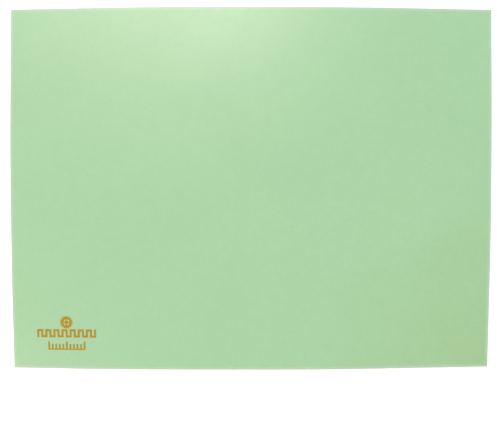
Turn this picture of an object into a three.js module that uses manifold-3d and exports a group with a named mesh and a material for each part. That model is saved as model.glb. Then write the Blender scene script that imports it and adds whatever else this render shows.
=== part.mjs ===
// Watchmaker's bench mat: one thin sheet of soft green plastic, cut square, with a small print
// in ochre ink in its lower left corner. The print is three generic marks in a column: a toothed
// watch wheel, a band drawn as a square wave, and a comb of short ticks.
//
// Frame: millimetres, +Z up. The origin is the centre of the underside. +X runs along the long
// side, +Y runs towards the far side, and the print is near the -X, -Y corner.

import * as THREE from "three";
import { mergeVertices } from "three/addons/utils/BufferGeometryUtils.js";
import Module from "manifold-3d";

const wasm = await Module();
wasm.setup();

// ---- Driving dimensions: the sheet ----------------------------------------------------------
const sheetLength = 320; // along X
const sheetWidth = 240; // along Y
const sheetThickness = 1.2; // along Z
const cornerRadius = 0.6; // the blade leaves the corners almost square

// ---- Driving dimensions: the print ----------------------------------------------------------
const inkThickness = 0.05; // a thick screen-printed deposit
const printFromLeft = 36.5; // from the left edge to the centre line of the column of marks
const printFromNear = 13; // from the near edge to the lowest ink
const combToBandGap = 2.8;
const bandToWheelGap = 0.3;

// Comb of short ticks, the lowest mark.
const tickCount = 11;
const tickPitch = 2.4;
const tickWidth = 1.2;
const longTickHeight = 5.6;
const shortTickHeight = 4;
const longTickEvery = 5; // counted from the first tick
const combLineHeight = 0.8; // the line that joins the feet of the ticks

// Square-wave band, the middle mark: upright strokes, joined in turn at the top and the foot.
const strokeCount = 15;
const strokePitch = 2.75;
const strokeWidth = 1.375;
const bandHeight = 5.5;
const linkHeight = 1.375;

// Toothed wheel, the upper mark.
const wheelDiameter = 8.8;
const toothCount = 16;
const toothDepth = 0.7;
const toothTipShare = 0.3; // of the tooth pitch
const toothRootShare = 0.5; // of the tooth pitch
const rimWidth = 1.6;
const spokeCount = 4;
const spokeShare = 0.25; // of the spoke pitch, so a spoke widens towards the rim
const hubDiameter = 2.6;

// ---- Finishes -------------------------------------------------------------------------------
const softGreenPlastic = new THREE.MeshStandardMaterial({
  color: new THREE.Color(0.255, 0.429, 0.256),
  roughness: 0.6,
  metalness: 0,
});
const ochreInk = new THREE.MeshStandardMaterial({
  color: new THREE.Color(0.285, 0.175, 0.004),
  roughness: 0.5,
  metalness: 0,
});

// ---- Places worked out from the sizes above -------------------------------------------------
const inkBase = sheetThickness; // the ink lies on the top face
const columnX = -sheetLength / 2 + printFromLeft;
const combFootY = -sheetWidth / 2 + printFromNear;
const bandFootY = combFootY + longTickHeight + combToBandGap;
const wheelCentreY = bandFootY + bandHeight + bandToWheelGap + wheelDiameter / 2;

// A flat piece: the outline, drawn in X and Y, made solid upwards from z = 0.
function extruded(outline, height, curveSegments) {
  return new THREE.ExtrudeGeometry(outline, {
    depth: height,
    bevelEnabled: false,
    curveSegments,
  });
}

function namedPiece(name, geometry, material) {
  const mesh = new THREE.Mesh(geometry, material);
  mesh.name = name;
  return mesh;
}

// ---- The sheet ------------------------------------------------------------------------------
// A rectangle with round corners, centred on the origin.
function makeSheet() {
  const x = sheetLength / 2 - cornerRadius;
  const y = sheetWidth / 2 - cornerRadius;
  const quarter = Math.PI / 2;
  const outline = new THREE.Shape();
  outline.absarc(x, y, cornerRadius, 0, quarter);
  outline.absarc(-x, y, cornerRadius, quarter, 2 * quarter);
  outline.absarc(-x, -y, cornerRadius, 2 * quarter, 3 * quarter);
  outline.absarc(x, -y, cornerRadius, 3 * quarter, 4 * quarter);
  return namedPiece("mat_sheet", extruded(outline, sheetThickness, 4), softGreenPlastic);
}

// ---- The toothed wheel ----------------------------------------------------------------------
// The outline goes round tooth by tooth: up to the tip, along it, and down to the root.
function toothedOutline() {
  const tipRadius = wheelDiameter / 2;
  const rootRadius = tipRadius - toothDepth;
  const toothAngle = (Math.PI * 2) / toothCount;
  const points = [];
  for (let tooth = 0; tooth < toothCount; tooth += 1) {
    const middle = tooth * toothAngle;
    const halfTip = (toothAngle * toothTipShare) / 2;
    const halfRoot = (toothAngle * toothRootShare) / 2;
    const corners = [
      [rootRadius, middle - halfRoot],
      [tipRadius, middle - halfTip],
      [tipRadius, middle + halfTip],
      [rootRadius, middle + halfRoot],
    ];
    for (const [radius, angle] of corners) {
      points.push(new THREE.Vector2(radius * Math.cos(angle), radius * Math.sin(angle)));
    }
  }
  return new THREE.Shape(points);
}

// A window is the space between two spokes, from the hub out to the rim. Its sides lie on radii.
function spokeWindow(spoke) {
  const spokeAngle = (Math.PI * 2) / spokeCount;
  const outerRadius = wheelDiameter / 2 - toothDepth - rimWidth;
  const innerRadius = hubDiameter / 2;
  const halfSpoke = (spokeAngle * spokeShare) / 2;
  const start = spoke * spokeAngle + halfSpoke;
  const end = (spoke + 1) * spokeAngle - halfSpoke;
  const opening = new THREE.Path();
  opening.absarc(0, 0, outerRadius, start, end, false);
  opening.absarc(0, 0, innerRadius, end, start, true);
  opening.closePath();
  return opening;
}

function makeWheel() {
  const outline = toothedOutline();
  for (let spoke = 0; spoke < spokeCount; spoke += 1) {
    outline.holes.push(spokeWindow(spoke));
  }
  const wheel = namedPiece("printed_wheel", extruded(outline, inkThickness, 8), ochreInk);
  wheel.position.set(columnX, wheelCentreY, inkBase);
  return wheel;
}

// ---- Marks made of straight strokes ---------------------------------------------------------
// One stroke of ink, from its left to its right and from its foot to its top.
function stroke(left, right, foot, top) {
  const geometry = new THREE.BoxGeometry(right - left, top - foot, inkThickness);
  geometry.translate((left + right) / 2, (foot + top) / 2, inkThickness / 2);
  return geometry;
}

function toSolid(geometry) {
  const bare = geometry.clone();
  bare.deleteAttribute("normal");
  bare.deleteAttribute("uv");
  const closed = mergeVertices(bare);
  const vertProperties = new Float32Array(closed.attributes.position.array);
  const triVerts = new Uint32Array(closed.index.array);
  return new wasm.Manifold(new wasm.Mesh({ numProp: 3, vertProperties, triVerts }));
}

// The strokes run into each other, so they are joined into one deposit of ink.
function joinedStrokes(strokes) {
  const deposit = strokes.map(toSolid).reduce((sum, next) => sum.add(next));
  const { vertProperties, triVerts } = deposit.getMesh();
  const geometry = new THREE.BufferGeometry();
  geometry.setAttribute("position", new THREE.BufferAttribute(vertProperties, 3));
  geometry.setIndex(new THREE.BufferAttribute(triVerts, 1));
  geometry.computeVertexNormals();
  return geometry;
}

// ---- The square-wave band -------------------------------------------------------------------
function makeBand() {
  const firstX = (-(strokeCount - 1) * strokePitch) / 2;
  const strokes = [];
  for (let index = 0; index < strokeCount; index += 1) {
    const x = firstX + index * strokePitch;
    strokes.push(stroke(x - strokeWidth / 2, x + strokeWidth / 2, 0, bandHeight));
    if (index === strokeCount - 1) continue;
    const linkFoot = index % 2 === 0 ? bandHeight - linkHeight : 0;
    strokes.push(stroke(x, x + strokePitch, linkFoot, linkFoot + linkHeight));
  }
  const band = namedPiece("printed_band", joinedStrokes(strokes), ochreInk);
  band.position.set(columnX, bandFootY, inkBase);
  return band;
}

// ---- The comb of ticks ----------------------------------------------------------------------
function makeComb() {
  const firstX = (-(tickCount - 1) * tickPitch) / 2;
  const strokes = [stroke(firstX, -firstX, 0, combLineHeight)];
  for (let tick = 0; tick < tickCount; tick += 1) {
    const x = firstX + tick * tickPitch;
    const height = tick % longTickEvery === 0 ? longTickHeight : shortTickHeight;
    strokes.push(stroke(x - tickWidth / 2, x + tickWidth / 2, 0, height));
  }
  const comb = namedPiece("printed_comb", joinedStrokes(strokes), ochreInk);
  comb.position.set(columnX, combFootY, inkBase);
  return comb;
}

const group = new THREE.Group();
group.add(makeSheet(), makeWheel(), makeBand(), makeComb());

export default group;
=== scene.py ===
# %% [markdown]
# # A watchmaker's bench mat
#
# The real object is one sheet of soft, matte green plastic that a watchmaker works on. It keeps
# small parts from bouncing, and it doesn't scratch a watch case. One corner has a small print
# in ochre ink.
#
# There are four physical pieces: the sheet, and three deposits of ink on its top face.
# This lesson cuts the sheet from a fine grid, rounds its edges as a blade leaves them, prints
# the three marks, and then spends most of its care on the two finishes.
#
# The CAD model is loaded first. It fixes every size and place, in metres, with +Z up.

# %% Open the frame
import math

import bmesh
import bpy
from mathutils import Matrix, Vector


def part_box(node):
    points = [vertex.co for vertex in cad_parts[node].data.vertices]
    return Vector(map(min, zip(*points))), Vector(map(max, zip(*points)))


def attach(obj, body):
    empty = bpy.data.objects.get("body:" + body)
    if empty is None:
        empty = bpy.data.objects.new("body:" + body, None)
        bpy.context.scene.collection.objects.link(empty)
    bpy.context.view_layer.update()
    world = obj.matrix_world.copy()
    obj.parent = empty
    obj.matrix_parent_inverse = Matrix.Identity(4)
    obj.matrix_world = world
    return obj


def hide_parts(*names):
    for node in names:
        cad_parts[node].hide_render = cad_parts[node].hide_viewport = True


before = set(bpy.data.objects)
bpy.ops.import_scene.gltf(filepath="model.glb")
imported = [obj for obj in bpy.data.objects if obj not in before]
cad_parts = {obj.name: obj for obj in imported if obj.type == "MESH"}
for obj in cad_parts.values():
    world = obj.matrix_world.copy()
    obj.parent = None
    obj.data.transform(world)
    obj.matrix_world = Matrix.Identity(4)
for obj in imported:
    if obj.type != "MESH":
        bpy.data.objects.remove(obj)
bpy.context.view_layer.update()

MM = 0.001
print("nodes:", sorted(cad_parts))

# %% [markdown]
# ## The camera
#
# The view is from straight above, with the camera tipped by less than two degrees.
#
# A small camera with a wide lens bows straight lines outwards a little, and the four long edges
# of a mat show that at once. A normal Blender camera draws them dead straight. Bending the mesh
# would be wrong, because that bow belongs to the lens. So this camera is a panoramic one with a
# lens polynomial, which says what angle is seen at each distance x from the middle of the
# sensor. A perfect lens sees atan(x), which starts as x - x**3 / 3. A smaller cubic term gives
# the bow. Blender counts the angle downwards, so both terms change sign.

# %% Camera with a slightly bowed lens
SENSOR_WIDTH = 36.0
FOCAL_LENGTH = 42.74
LENS_BOW = -0.223
CAMERA_PLACE = Vector((-3.25, -2.86, 387.9)) * MM
CAMERA_TILT = [math.radians(angle) for angle in (-1.82, -0.2, -0.04)]

lens = bpy.data.cameras.new("bench_camera")
lens.type = "PANO"
lens.panorama_type = "FISHEYE_LENS_POLYNOMIAL"
lens.sensor_width = SENSOR_WIDTH
lens.fisheye_fov = math.pi
lens.fisheye_polynomial_k0 = 0
lens.fisheye_polynomial_k1 = -1 / FOCAL_LENGTH
lens.fisheye_polynomial_k2 = 0
lens.fisheye_polynomial_k3 = -LENS_BOW / FOCAL_LENGTH**3
lens.fisheye_polynomial_k4 = 0
camera = bpy.data.objects.new("bench_camera", lens)
camera.location = CAMERA_PLACE
camera.rotation_euler = CAMERA_TILT
bpy.context.collection.objects.link(camera)
bpy.context.scene.camera = camera
print("camera is", round(CAMERA_PLACE.z / MM), "mm above the bench")

# %% [markdown]
# ## Three small helpers
#
# An operator acts on whatever is selected, so every piece starts by deselecting everything.
# In edit mode, faces, edges and vertices are picked by a test on their place or direction,
# which is what a hand would do with a box selection.


# %% Helpers for working by hand
def deselect_all():
    """Leaves edit mode and deselects every object."""
    if bpy.context.object and bpy.context.object.mode != "OBJECT":
        bpy.ops.object.mode_set(mode="OBJECT")
    bpy.ops.object.select_all(action="DESELECT")


def pick(kind, test):
    """In edit mode, selects only the 'VERT's, 'EDGE's or 'FACE's that pass the test."""
    bpy.ops.mesh.select_mode(type=kind)
    bpy.ops.mesh.select_all(action="DESELECT")
    mesh = bpy.context.object.data
    bm = bmesh.from_edit_mesh(mesh)
    bm.normal_update()
    layer = {"VERT": bm.verts, "EDGE": bm.edges, "FACE": bm.faces}[kind]
    chosen = [element for element in layer if test(element)]
    for element in chosen:
        element.select_set(True)
    bm.select_flush_mode()
    bmesh.update_edit_mesh(mesh)
    return len(chosen)


def middle(element):
    """The middle of an edge or a face."""
    corners = [vertex.co for vertex in element.verts]
    return sum(corners, Vector()) / len(corners)


# %% [markdown]
# Smooth shading alone would bend the light across the whole first cell beside a narrow bevel,
# as if the sheet were a pillow. Weighted normals let the broad faces decide, so they stay flat
# and only the bevel looks round.

# %% Helper for shading
SOFT_ANGLE = math.radians(35)


def shade_piece():
    """Shades the active object smoothly, with its broad faces left flat."""
    bpy.ops.object.mode_set(mode="OBJECT")
    bpy.ops.object.shade_smooth_by_angle(angle=SOFT_ANGLE)
    bpy.ops.object.modifier_add(type="WEIGHTED_NORMAL")
    weighted = bpy.context.object.modifiers[-1]
    weighted.keep_sharp = True
    bpy.ops.object.modifier_apply(modifier=weighted.name)


# %% [markdown]
# ## The sheet
#
# On the real mat this is a web of soft PVC, cut to size with a guillotine. It could be a cube
# made thin, but then its faces would be too large to lie naturally: soft plastic never lies
# quite flat. So it starts as a flat grid of small cells, and it is made thick afterwards.
#
# The blade leaves the corners almost square, so each corner vertex gets a very small bevel.

# %% Cut the blank
SHEET_CELL = 2.0 * MM
CORNER_RADIUS = 0.6 * MM
sheet_low, sheet_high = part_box("mat_sheet")
length, width, thickness = sheet_high - sheet_low

deselect_all()
bpy.ops.mesh.primitive_grid_add(
    x_subdivisions=round(length / SHEET_CELL),
    y_subdivisions=round(width / SHEET_CELL),
    size=1,
    location=(0, 0, 0),
)
sheet = bpy.context.object
sheet.name = "soft_sheet"
bpy.ops.object.mode_set(mode="EDIT")
bpy.ops.transform.resize(value=(length, width, 1))
corners = pick(
    "VERT",
    lambda v: abs(v.co.x) > length / 2 - MM and abs(v.co.y) > width / 2 - MM,
)
bpy.ops.mesh.bevel(offset=CORNER_RADIUS, segments=4, affect="VERTICES")
print("corners rounded:", corners)

# %% [markdown]
# Extruding the whole flat grid upwards closes it: the first faces stay as the underside, and
# the new ones become the working face.

# %% Give it its thickness
bpy.ops.mesh.select_all(action="SELECT")
bpy.ops.mesh.extrude_region_move(TRANSFORM_OT_translate={"value": (0, 0, thickness)})
bpy.ops.mesh.select_all(action="SELECT")
bpy.ops.mesh.normals_make_consistent(inside=False)

# %% [markdown]
# ## The cut edge
#
# A blade that comes down on soft plastic drags the upper edge over a little, so that edge is
# round. The lower edge stays sharper. Both are real bevels and not a shading trick, because
# the thin bright line along the edge of a mat is what tells the eye that it has a thickness.

# %% Round the two rims
UPPER_ROUND = 0.22 * MM
LOWER_ROUND = 0.08 * MM
LEVEL_SLACK = 0.01 * MM
SHARP = math.radians(60)


def is_rim(edge, level):
    """Whether this is a sharp edge that lies at one level, as a rim does."""
    on_level = all(abs(vertex.co.z - level) < LEVEL_SLACK for vertex in edge.verts)
    return on_level and edge.calc_face_angle() > SHARP


upper_edges = pick("EDGE", lambda e: is_rim(e, level=thickness))
bpy.ops.mesh.bevel(offset=UPPER_ROUND, segments=4, affect="EDGES")
lower_edges = pick("EDGE", lambda e: is_rim(e, level=0))
bpy.ops.mesh.bevel(offset=LOWER_ROUND, segments=2, affect="EDGES")
print("rim edges rounded:", upper_edges, "above and", lower_edges, "below")

# %% [markdown]
# ## Where each point was cut
#
# The next step moves parts of the sheet, and later the finish has to know which points lie on
# the cut. Their places now, while the blank is still a true rectangle, are the answer. They are
# kept on the mesh as an attribute, which travels with the points when they move.

# %% Remember the flat blank
bpy.ops.object.mode_set(mode="OBJECT")
flat_place = sheet.data.attributes.new("flat_place", "FLOAT_VECTOR", "POINT")
places = [0.0] * (3 * len(sheet.data.vertices))
sheet.data.vertices.foreach_get("co", places)
flat_place.data.foreach_set("vector", places)
print("places kept:", len(sheet.data.vertices))

# %% [markdown]
# ## How it lies
#
# The mat was packed flat, so it lies almost dead flat, and only a few places stand off the
# bench by less than a millimetre. It isn't a perfect rectangle either. Soft plastic can stretch
# under the blade and spring back, so each corner is drawn in by 0.5 to 1.3 mm.
#
# Proportional editing is the natural tool for both: one spot is moved, and its neighbours
# follow with a smooth falloff. The corner with the print stays flat.

# %% Move a few places by a hair
SETTLED = (
    # place along the length and the width, from -1 to 1; shift in x, y and z; reach
    (-1.0, 1.0, (1.0 * MM, -0.8 * MM, 0.7 * MM), 95 * MM),
    (1.0, 1.0, (-0.5 * MM, -0.6 * MM, 0.5 * MM), 80 * MM),
    (1.0, -1.0, (-1.0 * MM, 0.8 * MM, 0.9 * MM), 105 * MM),
    (-1.0, -1.0, (0.3 * MM, 0.4 * MM, 0.0), 60 * MM),
    (0.25, -1.0, (0.0, 0.0, 0.25 * MM), 60 * MM),
)
bpy.ops.object.mode_set(mode="EDIT")
for along, across, shift, reach in SETTLED:
    spot = Vector((along * length / 2, across * width / 2, 0))
    moved = pick("VERT", lambda v: (v.co.xy - spot.xy).length < 1.5 * SHEET_CELL)
    bpy.ops.transform.translate(
        value=shift,
        use_proportional_edit=True,
        proportional_edit_falloff="SMOOTH",
        proportional_size=reach,
    )
    print("moved", moved, "vertices at", [round(c / MM) for c in spot.xy])
shade_piece()
print("faces in the sheet:", len(sheet.data.polygons))
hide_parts("mat_sheet")
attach(sheet, "root")

# %% [markdown]
# ## The printed marks
#
# On the real mat the print is screen ink: a film that stands a few hundredths of a millimetre
# proud, with square sides. A picture laid over the sheet would look right from above only. Here
# each mark is a solid of its own: its outline is drawn flat, and then it is made thick.
#
# Every mark ends the same way, so that step is a helper. Ink draws itself in as it dries, so
# its upper edge gets a tiny bevel.

# %% Turn a flat drawing into a film of ink
INK_ROUND = 0.015 * MM
SAME_POINT = 0.001 * MM


def make_film(piece, height):
    """Makes the drawing solid upwards, and softens its upper edge."""
    base = piece.data.vertices[0].co.z
    bpy.ops.mesh.select_all(action="SELECT")
    bpy.ops.mesh.remove_doubles(threshold=SAME_POINT)
    bpy.ops.mesh.extrude_region_move(TRANSFORM_OT_translate={"value": (0, 0, height)})
    bpy.ops.mesh.select_all(action="SELECT")
    bpy.ops.mesh.normals_make_consistent(inside=False)
    pick("EDGE", lambda e: is_rim(e, level=base + height))
    bpy.ops.mesh.bevel(offset=INK_ROUND, segments=2, affect="EDGES")
    shade_piece()
    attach(piece, "root")
    print(piece.name, "has", len(piece.data.polygons), "faces")


# %% [markdown]
# ### The square-wave band
#
# The wave fits a grid of squares: every upright stroke is one square wide, and so is every gap.
# So the grid is laid first, and the squares that the ink doesn't cover are deleted. In each gap
# one square stays, at the top and at the foot in turn, and links two strokes.

# %% Band
BAND_STROKES = 15
BAND_ROWS = 4
band_low, band_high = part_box("printed_band")
band_size = band_high - band_low
band_columns = 2 * BAND_STROKES - 1

deselect_all()
bpy.ops.mesh.primitive_grid_add(
    x_subdivisions=band_columns, y_subdivisions=BAND_ROWS, size=1, location=(0, 0, 0)
)
band = bpy.context.object
band.name = "ink_band"
bpy.ops.object.mode_set(mode="EDIT")
bpy.ops.transform.resize(value=(band_size.x, band_size.y, 1))
bpy.ops.transform.translate(value=(*((band_low + band_high) / 2).xy, band_low.z))


def cell_of(face, low, size, columns, rows):
    """The column and the row of a face of a grid, counted from its low corner."""
    place = middle(face) - low
    return int(place.x / size.x * columns), int(place.y / size.y * rows)


def bare_in_band(face):
    column, row = cell_of(face, band_low, band_size, band_columns, BAND_ROWS)
    gap, in_gap = divmod(column, 2)
    linked_row = BAND_ROWS - 1 if gap % 2 == 0 else 0
    return in_gap == 1 and row != linked_row


print("squares cleared:", pick("FACE", bare_in_band))
bpy.ops.mesh.delete(type="FACE")
make_film(band, band_size.z)
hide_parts("printed_band")

# %% [markdown]
# ### The comb of ticks
#
# The comb is made the same way, on a grid of its own: a tick is one column wide, and so is the
# gap after it. The lowest row joins their feet. Every fifth tick is a long one.

# %% Comb
TICKS = 11
TICK_STEP = 2
LONG_TICK_EVERY = 5
COMB_ROWS = 7
SHORT_TICK_ROWS = 5
comb_low, comb_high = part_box("printed_comb")
comb_size = comb_high - comb_low
comb_columns = (TICKS - 1) * TICK_STEP + 1

deselect_all()
bpy.ops.mesh.primitive_grid_add(
    x_subdivisions=comb_columns, y_subdivisions=COMB_ROWS, size=1, location=(0, 0, 0)
)
comb = bpy.context.object
comb.name = "ink_comb"
bpy.ops.object.mode_set(mode="EDIT")
bpy.ops.transform.resize(value=(comb_size.x, comb_size.y, 1))
bpy.ops.transform.translate(value=(*((comb_low + comb_high) / 2).xy, comb_low.z))


def bare_in_comb(face):
    column, row = cell_of(face, comb_low, comb_size, comb_columns, COMB_ROWS)
    tick, past_tick = divmod(column, TICK_STEP)
    tick_rows = COMB_ROWS if tick % LONG_TICK_EVERY == 0 else SHORT_TICK_ROWS
    return row > 0 and (past_tick > 0 or row >= tick_rows)


print("squares cleared:", pick("FACE", bare_in_comb))
bpy.ops.mesh.delete(type="FACE")
make_film(comb, comb_size.z)
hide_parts("printed_comb")

# %% [markdown]
# ### The toothed wheel
#
# A watch wheel is all rings about one centre, so it is grown outwards from its hub. A filled
# circle is the hub. The edges where a spoke starts are extruded and scaled up about the centre,
# which makes the spokes, and the rim is a second circle extruded the same way. Scaling about
# the centre keeps every side on a radius. Last, two edges in every four become a tooth.

# %% Wheel: hub, spokes and rim
SEGMENTS = 64
SPOKES = 4
TEETH = 16
HUB_RADIUS = 1.3 * MM
RIM_WIDTH = 1.6 * MM
TOOTH_DEPTH = 0.7 * MM
TOOTH_CHAMFER = 0.16 * MM
RING_SLACK = 0.02 * MM
wheel_low, wheel_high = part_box("printed_wheel")
wheel_centre = (wheel_low + wheel_high) / 2
wheel_centre.z = wheel_low.z
tip_radius = (wheel_high.x - wheel_low.x) / 2
root_radius = tip_radius - TOOTH_DEPTH
rim_radius = root_radius - RIM_WIDTH
edges_per_spoke = SEGMENTS // SPOKES // 4
edges_per_tooth = SEGMENTS // TEETH // 2


def turn_of(place, count):
    """How far round a place is from the middle of the nearest of count spokes or teeth."""
    x, y = (place - wheel_centre).xy
    pitch = math.tau / count
    return abs((math.atan2(y, x) + pitch / 2) % pitch - pitch / 2)


def pick_ring(radius, each, count):
    """Selects the edges of one ring that carry count spokes or teeth, each this many edges wide."""
    half_turn = each / 2 * math.tau / SEGMENTS

    def carries(edge):
        reaches = [(vertex.co - wheel_centre).xy.length for vertex in edge.verts]
        on_ring = all(abs(reach - radius) < RING_SLACK for reach in reaches)
        return on_ring and turn_of(middle(edge), count) < half_turn

    return pick("EDGE", carries)


def grow(start, end):
    """Extrudes the selected edges from one radius out to another."""
    scale = end / start
    bpy.ops.mesh.extrude_edges_move()
    bpy.ops.transform.resize(value=(scale, scale, 1), center_override=wheel_centre)


deselect_all()
bpy.ops.mesh.primitive_circle_add(
    vertices=SEGMENTS, radius=HUB_RADIUS, fill_type="TRIFAN", location=wheel_centre
)
wheel = bpy.context.object
wheel.name = "ink_wheel"
bpy.ops.object.transform_apply(location=True)
bpy.ops.object.mode_set(mode="EDIT")
print("spoke edges:", pick_ring(HUB_RADIUS, edges_per_spoke, SPOKES))
grow(HUB_RADIUS, rim_radius)
bpy.ops.mesh.primitive_circle_add(
    vertices=SEGMENTS, radius=rim_radius, fill_type="NOTHING", location=wheel_centre
)
grow(rim_radius, root_radius)
bpy.ops.mesh.select_all(action="SELECT")
bpy.ops.mesh.remove_doubles(threshold=SAME_POINT)

# %% [markdown]
# The teeth grow from the outer ring in the same way. Their outer corners are then cut off with
# a vertex bevel, so that each tooth narrows to its tip.

# %% Wheel: teeth
print("tooth edges:", pick_ring(root_radius, edges_per_tooth, TEETH))
grow(root_radius, tip_radius)
tooth_half_turn = edges_per_tooth / 2 * math.tau / SEGMENTS


def is_tip_corner(vertex):
    at_tip = (vertex.co - wheel_centre).xy.length > tip_radius - RING_SLACK
    return at_tip and turn_of(vertex.co, TEETH) > tooth_half_turn / 2


print("tip corners:", pick("VERT", is_tip_corner))
bpy.ops.mesh.bevel(offset=TOOTH_CHAMFER, segments=1, affect="VERTICES")
make_film(wheel, (wheel_high - wheel_low).z)
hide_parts("printed_wheel")

# %% [markdown]
# ## The finishes
#
# Both finishes are built from nodes that read Object coordinates. Each piece's origin is the
# row's origin, so those coordinates are simply metres on the mat, and a pattern that runs from
# the sheet into the ink stays in step. A pattern's scale is then a count per metre.
#
# A few helpers keep the node trees short to read.


# %% Helpers for node trees
def new_finish(name):
    """A material, its node tree and its shader node."""
    material = bpy.data.materials.new(name)
    material.use_nodes = True
    tree = material.node_tree
    return material, tree, tree.nodes["Principled BSDF"]


def feed(tree, source, socket):
    """Links a socket to another, or just sets the value of a plain number or colour."""
    if isinstance(source, bpy.types.NodeSocket):
        tree.links.new(source, socket)
    else:
        socket.default_value = source


def mat_coordinates(tree):
    return tree.nodes.new("ShaderNodeTexCoord").outputs["Object"]


def noise(tree, place, size, detail=2.0, roughness=0.5):
    """Soft noise whose blotches are about this size, in metres. It averages 0.5."""
    node = tree.nodes.new("ShaderNodeTexNoise")
    node.inputs["Scale"].default_value = 1 / size
    node.inputs["Detail"].default_value = detail
    node.inputs["Roughness"].default_value = roughness
    feed(tree, place, node.inputs["Vector"])
    return node.outputs["Fac"]


def maths(tree, operation, *values):
    node = tree.nodes.new("ShaderNodeMath")
    node.operation = operation
    for value, socket in zip(values, node.inputs):
        feed(tree, value, socket)
    return node.outputs["Value"]


def between(tree, value, low, high, clamp=True, start=0.0, end=1.0):
    """Maps value from the range start..end to the range low..high."""
    node = tree.nodes.new("ShaderNodeMapRange")
    node.clamp = clamp
    inputs = (value, start, end, low, high)
    for part, socket in zip(inputs, node.inputs):
        feed(tree, part, socket)
    return node.outputs["Result"]


def swing(tree, pattern, amount):
    """Turns noise into a factor that swings by this amount about 1."""
    return between(tree, pattern, 1 - amount, 1 + amount, start=0.3, end=0.7)


def product(tree, first, *others):
    for other in others:
        first = maths(tree, "MULTIPLY", first, other)
    return first


def total(tree, first, *others):
    for other in others:
        first = maths(tree, "ADD", first, other)
    return first


def mix_colours(tree, share, first, second, blend="MIX"):
    node = tree.nodes.new("ShaderNodeMix")
    node.data_type = "RGBA"
    node.blend_type = blend
    feed(tree, share, node.inputs["Factor"])
    feed(tree, first, node.inputs["A"])
    feed(tree, second, node.inputs["B"])
    return node.outputs["Result"]


def grey(tree, value):
    """A grey of this value, to multiply a colour with."""
    node = tree.nodes.new("ShaderNodeCombineColor")
    for socket in node.inputs:
        feed(tree, value, socket)
    return node.outputs["Color"]


def bump(tree, shader, height, depth, strength):
    node = tree.nodes.new("ShaderNodeBump")
    node.inputs["Strength"].default_value = strength
    node.inputs["Distance"].default_value = depth
    feed(tree, height, node.inputs["Height"])
    tree.links.new(node.outputs["Normal"], shader.inputs["Normal"])


# %% [markdown]
# ### The embossed grain
#
# The web of plastic goes through an engraved roller, which presses a fine, pebbly grain into
# it. It is what makes the mat matte and lets a fingertip slide. Real pebbles would take more
# than ten million faces, so they are a bump: rounded Voronoi cells about half a millimetre
# across, pulled about by a little noise so that they don't look like a honeycomb.

# %% Grain
PEBBLE = 0.55 * MM
PEBBLE_WANDER = 0.25 * MM
FINE_GRAIN = 0.12 * MM
FINE_SHARE = 0.2
GRAIN_DEPTH = 0.03 * MM
GRAIN_STRENGTH = 0.8


def pebble_grain(tree, place):
    """The height of the embossing, from 0 in the valleys to 1 on the pebbles."""
    wander = tree.nodes.new("ShaderNodeTexNoise")
    wander.inputs["Scale"].default_value = 1 / (2 * PEBBLE)
    wander.inputs["Detail"].default_value = 1.0
    feed(tree, place, wander.inputs["Vector"])
    shift = tree.nodes.new("ShaderNodeVectorMath")
    shift.operation = "MULTIPLY_ADD"
    feed(tree, wander.outputs["Color"], shift.inputs[0])
    shift.inputs[1].default_value = (PEBBLE_WANDER,) * 3
    feed(tree, place, shift.inputs[2])
    cells = tree.nodes.new("ShaderNodeTexVoronoi")
    cells.inputs["Scale"].default_value = 1 / PEBBLE
    feed(tree, shift.outputs["Vector"], cells.inputs["Vector"])
    pebbles = between(tree, cells.outputs["Distance"], 1.0, 0.0, start=0.05, end=0.8)
    fine = noise(tree, place, FINE_GRAIN, detail=2.0)
    return total(tree, product(tree, pebbles, 1 - FINE_SHARE), product(tree, fine, FINE_SHARE))


# %% [markdown]
# ### Soft green plastic
#
# The colour isn't one green. The pigment clouds slowly over the sheet, and it mottles a little at
# the size of a fingertip. One noise can't do all of that, so three of different sizes each move
# the green by a little. On top of that, painted shade makes the valleys of the grain a touch
# darker, and a painted highlight makes the pebble tops a touch lighter.

# %% Soft plastic: the green of the faces
GREEN = (0.249, 0.420, 0.248, 1.0)
CLOUD = 70 * MM
MOTTLE = 6 * MM
FLECK = 1.4 * MM
CLOUD_SWING = 0.015
MOTTLE_SWING = 0.015
FLECK_SWING = 0.012
PAINTED_VALLEY_SHADE = 0.93
PAINTED_PEBBLE_HIGHLIGHT = 1.04

plastic, tree, shader = new_finish("soft_green_plastic")
place = mat_coordinates(tree)
grain = pebble_grain(tree, place)

clouds = swing(tree, noise(tree, place, CLOUD, detail=3.0), CLOUD_SWING)
mottle = swing(tree, noise(tree, place, MOTTLE, detail=4.0, roughness=0.6), MOTTLE_SWING)
flecks = swing(tree, noise(tree, place, FLECK), FLECK_SWING)
# Painted shade in the valleys of the grain and a painted highlight on the pebble tops.
valleys = between(tree, grain, PAINTED_VALLEY_SHADE, PAINTED_PEBBLE_HIGHLIGHT)
shade = product(tree, clouds, mottle, flecks, valleys)
green = mix_colours(tree, 1.0, GREEN, grey(tree, shade), blend="MULTIPLY")
print("greens swing by a few hundredths about", GREEN[:3])

# %% [markdown]
# Painted shade makes the near right corner a little darker and yellower, as a warm cast that
# fades out over a hand's width. A slow noise keeps its border from being a circle.

# %% Soft plastic: painted shade in the near right corner
PAINTED_CORNER_SHADE = (0.95, 0.93, 0.80, 1.0)
CORNER_SHADE_REACH = 130 * MM
BORDER_BLOTCH = 40 * MM
BORDER_SWING = 0.25
UNTINTED = (1.0, 1.0, 1.0, 1.0)

to_corner = tree.nodes.new("ShaderNodeVectorMath")
to_corner.operation = "DISTANCE"
feed(tree, place, to_corner.inputs[0])
to_corner.inputs[1].default_value = (length / 2, -width / 2, thickness)
ragged = swing(tree, noise(tree, place, BORDER_BLOTCH, detail=3.0), BORDER_SWING)
distance = product(tree, to_corner.outputs["Value"], ragged)
corner_shade_share = between(tree, distance, 1.0, 0.0, start=0.0, end=CORNER_SHADE_REACH)
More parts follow.
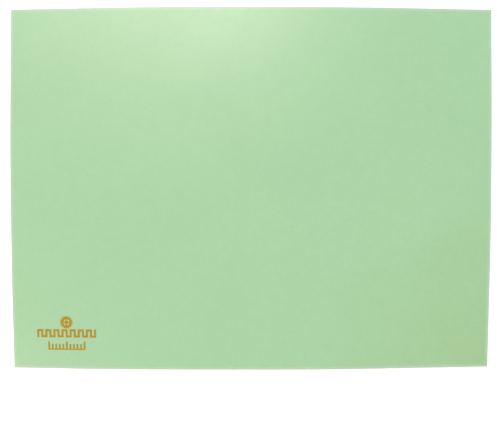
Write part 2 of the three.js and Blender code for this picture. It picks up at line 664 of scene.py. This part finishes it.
# Painted shade: the corner is multiplied by a darker, yellower colour.
painted_corner_tint = mix_colours(tree, corner_shade_share, UNTINTED, PAINTED_CORNER_SHADE)
green = mix_colours(tree, 1.0, green, painted_corner_tint, blend="MULTIPLY")

# %% [markdown]
# The blade leaves the cut edge paler and drier than the faces, with fine upright drag lines.
# Handling then pales a narrow rim of the top face beside it. A picture could be painted for
# this, but a sum is simpler: how far a point lies past the ends and past the sides of the blank
# comes from the places kept earlier, and the larger of the two says how near it is to the cut.

# %% Soft plastic: the cut edge and the worn rim
CUT_BAND = 0.12 * MM
RIM_BAND = 2.0 * MM
RIM_WEAR = 0.8
CHAFE = 2.5 * MM
DRAG_LINE = 0.1 * MM
DRAG_STRETCH = 0.08
DRAG_SWING = 0.1
PALE_CUT = (0.37, 0.48, 0.38, 1.0)
PALE_RIM = (0.34, 0.43, 0.36, 1.0)

blank_place = tree.nodes.new("ShaderNodeAttribute")
blank_place.attribute_name = "flat_place"
axes = tree.nodes.new("ShaderNodeSeparateXYZ")
feed(tree, blank_place.outputs["Vector"], axes.inputs[0])
from_ends = maths(tree, "SUBTRACT", maths(tree, "ABSOLUTE", axes.outputs["X"]), length / 2)
from_sides = maths(tree, "SUBTRACT", maths(tree, "ABSOLUTE", axes.outputs["Y"]), width / 2)
outward = maths(tree, "MAXIMUM", from_ends, from_sides)
cut = between(tree, outward, 0.0, 1.0, start=-CUT_BAND, end=0.0)
chafed = product(tree, noise(tree, place, CHAFE, detail=3.0), RIM_BAND)
reach = total(tree, outward, chafed)
rim = between(tree, reach, 0.0, RIM_WEAR, start=-0.7 * RIM_BAND, end=0.5 * RIM_BAND)

upright = tree.nodes.new("ShaderNodeMapping")
upright.inputs["Scale"].default_value = (1, 1, DRAG_STRETCH)
feed(tree, place, upright.inputs["Vector"])
drag = noise(tree, upright.outputs["Vector"], DRAG_LINE, detail=3.0)

drag_shade = grey(tree, swing(tree, drag, DRAG_SWING))
cut_colour = mix_colours(tree, 1.0, PALE_CUT, drag_shade, blend="MULTIPLY")
worn = mix_colours(tree, rim, green, PALE_RIM)
feed(tree, mix_colours(tree, cut, worn, cut_colour), shader.inputs["Base Color"])

# %% [markdown]
# The sheen depends on the roughness more than on anything else. Pebble tops are rubbed a little
# smoother than the valleys, wiping leaves faint soft patches, and the cut edge is dry. A number
# per patch could be painted by hand, but adding the three causes keeps each one adjustable.
# The last step presses the grain in as a bump, and leaves the drag lines on the cut.

# %% Soft plastic: sheen and relief
WIPED_PATCH = 45 * MM
WIPED_ROUGHNESS = 0.27
UNWIPED_ROUGHNESS = 0.32
VALLEY_EXTRA = 0.04
CUT_EXTRA = 0.25
PLASTIC_IOR = 1.5

wiped = noise(tree, place, WIPED_PATCH, detail=4.0, roughness=0.55)
satin = between(tree, wiped, WIPED_ROUGHNESS, UNWIPED_ROUGHNESS, start=0.3, end=0.7)
rubbed = between(tree, grain, VALLEY_EXTRA, -VALLEY_EXTRA)
dry = product(tree, cut, CUT_EXTRA)
feed(tree, total(tree, satin, rubbed, dry), shader.inputs["Roughness"])

face_relief = product(tree, grain, maths(tree, "SUBTRACT", 1.0, cut))
cut_relief = product(tree, drag, cut)
relief = total(tree, face_relief, cut_relief)
bump(tree, shader, relief, depth=GRAIN_DEPTH, strength=GRAIN_STRENGTH)
shader.inputs["IOR"].default_value = PLASTIC_IOR
sheet.data.materials.clear()
sheet.data.materials.append(plastic)
print("nodes in the plastic:", len(tree.nodes))

# %% [markdown]
# ### Ochre ink
#
# Screen ink goes through a mesh, so it lies a little unevenly: some of it is thinner, and the
# green shows through. It takes up most of the grain that it was printed on, so it shares the
# grain of the sheet, only shallower.

# %% Ochre ink
OCHRE = (0.285, 0.175, 0.004, 1.0)
THIN_OCHRE = (0.27, 0.195, 0.02, 1.0)
THIN_SPOT = 0.5 * MM
INK_PATCH = 3 * MM
INK_SWING = 0.06
VALLEY_INK_ROUGHNESS = 0.46
PEBBLE_INK_ROUGHNESS = 0.36
INK_GRAIN_SHARE = 0.6
INK_IOR = 1.25

ink, tree, shader = new_finish("ochre_ink")
place = mat_coordinates(tree)
grain = pebble_grain(tree, place)
thin = between(tree, noise(tree, place, THIN_SPOT, detail=3.0), 0.0, 1.0, start=0.5, end=0.75)
patchy = swing(tree, noise(tree, place, INK_PATCH), INK_SWING)
ochre = mix_colours(tree, thin, OCHRE, THIN_OCHRE)
ochre = mix_colours(tree, 1.0, ochre, grey(tree, patchy), blend="MULTIPLY")
feed(tree, ochre, shader.inputs["Base Color"])
ink_roughness = between(tree, grain, VALLEY_INK_ROUGHNESS, PEBBLE_INK_ROUGHNESS)
feed(tree, ink_roughness, shader.inputs["Roughness"])
bump(tree, shader, grain, depth=INK_GRAIN_SHARE * GRAIN_DEPTH, strength=GRAIN_STRENGTH)
shader.inputs["IOR"].default_value = INK_IOR
for piece in (wheel, band, comb):
    piece.data.materials.clear()
    piece.data.materials.append(ink)

# %% [markdown]
# ## The bench top and the room
#
# The bench is one white card, far larger than the view, so no edge of it shows. It is a stage
# and not a part of the object. It could be left out, but then nothing would catch the light
# that the mat's edge throws, and the mat would hang in a void.
#
# The room is even white light from all round, which is what a light tent gives. It carries most
# of the exposure. It also keeps the horizon white when the camera is moved.

# %% White card and room light
CARD_SIZE = 20.0
CARD_WHITE = (0.93, 0.93, 0.93, 1.0)
CARD_ROUGHNESS = 0.8
ROOM_STRENGTH = 0.95

deselect_all()
bpy.ops.mesh.primitive_plane_add(size=CARD_SIZE, location=(0, 0, 0))
card = bpy.context.object
card.name = "white_card"
card_finish, tree, shader = new_finish("card")
shader.inputs["Base Color"].default_value = CARD_WHITE
shader.inputs["Roughness"].default_value = CARD_ROUGHNESS
card.data.materials.append(card_finish)

room = bpy.data.worlds.new("light_tent")
room.use_nodes = True
background = room.node_tree.nodes["Background"]
background.inputs["Color"].default_value = (1.0, 1.0, 1.0, 1.0)
background.inputs["Strength"].default_value = ROOM_STRENGTH
bpy.context.scene.world = room
bpy.context.scene.view_settings.view_transform = "Standard"
print("room light:", ROOM_STRENGTH)

# %% [markdown]
# ## The lamps
#
# A matte sheet shows where a lamp is by one broad, soft sheen. On this mat it lies along the
# far edge, so there is a lamp beyond that edge, placed where the sheet mirrors it to the
# camera. It is made of a wide strip, which carries the sheen along the edge, and a round
# softbox, which gives it a middle.
#
# The near left side is a little lighter than the right, so a large warm softbox stands there,
# with a weak one in the middle of the near side. A weak cool one at the far right is the window.
# Area lamps are used throughout, because a point lamp would leave a hard spot on the grain.


# %% Softboxes
def softbox(name, place, size, power, colour, depth=None):
    """An area lamp that faces the middle of the mat: round, or a strip if it has a depth."""
    lamp = bpy.data.lights.new(name, "AREA")
    lamp.size = size
    lamp.shape = "DISK"
    if depth:
        lamp.shape = "RECTANGLE"
        lamp.size_y = depth
    lamp.energy = power
    lamp.color = colour
    stand = bpy.data.objects.new(name, lamp)
    stand.location = place
    stand.rotation_euler = (-Vector(place)).to_track_quat("-Z", "Y").to_euler()
    bpy.context.collection.objects.link(stand)
    print(name, "gives", power, "W")


softbox("far_strip", (-0.18, 0.56, 1.1), 0.9, 3.6, (1.0, 0.87, 0.74), depth=0.25)
softbox("far_softbox", (-0.09, 0.56, 1.1), 0.4, 3.2, (1.0, 0.93, 0.85))
softbox("near_left_softbox", (-0.9, -0.7, 0.9), 0.6, 7.0, (1.0, 0.84, 0.60))
softbox("near_fill", (-0.1, -1.1, 0.9), 0.6, 3.0, (1.0, 0.95, 0.85))
softbox("far_right_window", (0.9, 0.9, 0.9), 0.6, 3.6, (0.28, 0.60, 1.0))

# %% [markdown]
# ## Last step
#
# Last, edit mode is left and every object is deselected.

# %% Deselect everything
deselect_all()
